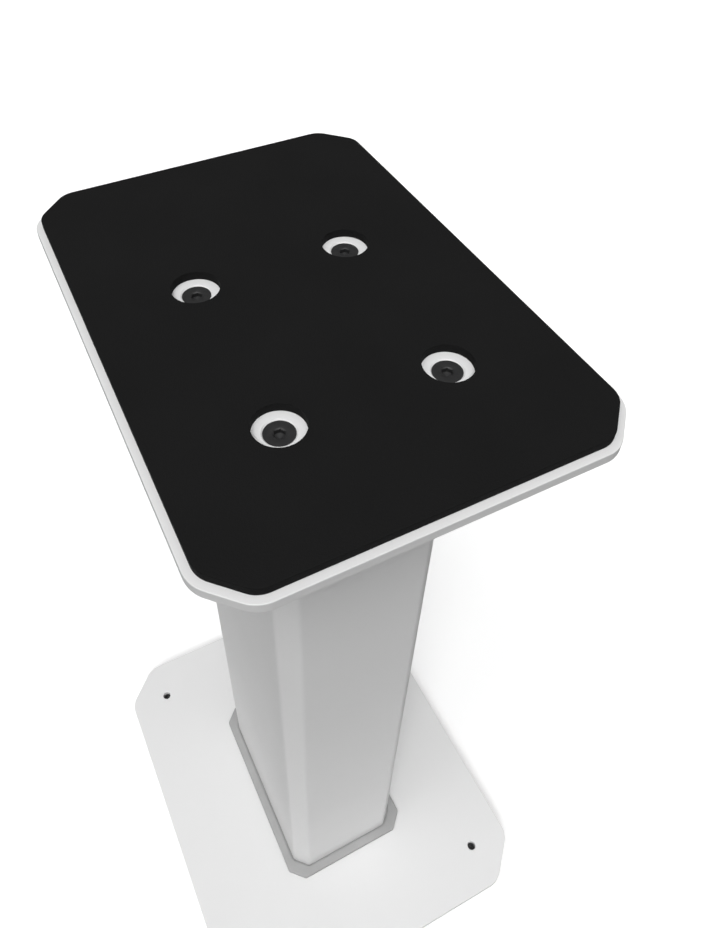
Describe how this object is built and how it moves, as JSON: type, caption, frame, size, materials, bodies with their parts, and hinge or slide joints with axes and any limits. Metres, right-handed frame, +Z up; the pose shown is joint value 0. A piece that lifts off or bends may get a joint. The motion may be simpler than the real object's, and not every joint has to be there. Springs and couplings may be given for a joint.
{
  "type": "loudspeaker floor stand",
  "caption": "White steel loudspeaker floor stand: padded top plate, hollow chamfered column with a fill chamber and rear cable channel, base plate with screw-levelled feet.",
  "frame": {"origin": "on the floor, under the middle of the base plate", "axes": "+Z up, +X along the stand's width, -Y to the front; the cable cover is on the +Y side"},
  "size_m": [0.24, 0.285, 0.544],
  "materials": {
    "white_paint": "satin powder coat",
    "pad_foam": "matte fine-celled foam rubber",
    "black_screws": "black oxide",
    "bare_steel": "mill finish",
    "zinc_steel": "bright zinc plate",
    "grey_rubber": "smooth matte",
    "black_rubber": "matte",
    "black_plastic": "fine spark-eroded"
  },
  "bodies": {
    "stand": {"top_pad": "pad_foam", "top_plate": "white_paint", "top_plate_screws": "black_screws", "column_wrap": "white_paint", "column_rear": "white_paint", "column_cap": "bare_steel", "column_foot": "bare_steel", "column_divider": "bare_steel", "fill_plug": "black_rubber", "cover_rail_left": "bare_steel", "cover_rail_right": "bare_steel", "peg_bushes": "black_rubber", "upper_port_trim": "black_rubber", "lower_port_trim": "black_rubber", "base_gasket": "grey_rubber", "base_plate": "white_paint", "base_screws": "black_screws", "base_bosses": "white_paint", "lock_nuts": "zinc_steel"},
    "cover": {"cable_cover": "white_paint", "cover_pegs": "black_plastic"},
    "foot_front_left": {"foot_cup_front_left": "black_plastic", "foot_sole_front_left": "black_rubber"},
    "stud_front_left": {"foot_stud_front_left": "black_screws"},
    "foot_front_right": {"foot_cup_front_right": "black_plastic", "foot_sole_front_right": "black_rubber"},
    "stud_front_right": {"foot_stud_front_right": "black_screws"},
    "foot_rear_left": {"foot_cup_rear_left": "black_plastic", "foot_sole_rear_left": "black_rubber"},
    "stud_rear_left": {"foot_stud_rear_left": "black_screws"},
    "foot_rear_right": {"foot_cup_rear_right": "black_plastic", "foot_sole_rear_right": "black_rubber"},
    "stud_rear_right": {"foot_stud_rear_right": "black_screws"}
  },
  "joints": [
    {"name": "cover_pull", "type": "slide", "parent": "stand", "child": "cover", "axis": [0, 1, 0], "range_m": [0, 0.05]},
    {"name": "level_front_left", "type": "slide", "parent": "stand", "child": "foot_front_left", "axis": [0, 0, -1], "range_m": [0, 0.006]},
    {"name": "turn_front_left", "type": "hinge", "parent": "foot_front_left", "child": "stud_front_left", "pos_m": [-0.09, -0.1125, 0.014], "axis": [0, 0, -1], "range_deg": [0, 2160]},
    {"name": "level_front_right", "type": "slide", "parent": "stand", "child": "foot_front_right", "axis": [0, 0, -1], "range_m": [0, 0.006]},
    {"name": "turn_front_right", "type": "hinge", "parent": "foot_front_right", "child": "stud_front_right", "pos_m": [0.09, -0.1125, 0.014], "axis": [0, 0, -1], "range_deg": [0, 2160]},
    {"name": "level_rear_left", "type": "slide", "parent": "stand", "child": "foot_rear_left", "axis": [0, 0, -1], "range_m": [0, 0.006]},
    {"name": "turn_rear_left", "type": "hinge", "parent": "foot_rear_left", "child": "stud_rear_left", "pos_m": [-0.09, 0.1125, 0.014], "axis": [0, 0, -1], "range_deg": [0, 2160]},
    {"name": "level_rear_right", "type": "slide", "parent": "stand", "child": "foot_rear_right", "axis": [0, 0, -1], "range_m": [0, 0.006]},
    {"name": "turn_rear_right", "type": "hinge", "parent": "foot_rear_right", "child": "stud_rear_right", "pos_m": [0.09, 0.1125, 0.014], "axis": [0, 0, -1], "range_deg": [0, 2160]}
  ],
  "couplings": [
    {"joint": "turn_front_left", "follows": "level_front_left", "rad_per_m": 6283.2},
    {"joint": "turn_front_right", "follows": "level_front_right", "rad_per_m": 6283.2},
    {"joint": "turn_rear_left", "follows": "level_rear_left", "rad_per_m": 6283.2},
    {"joint": "turn_rear_right", "follows": "level_rear_right", "rad_per_m": 6283.2}
  ]
}
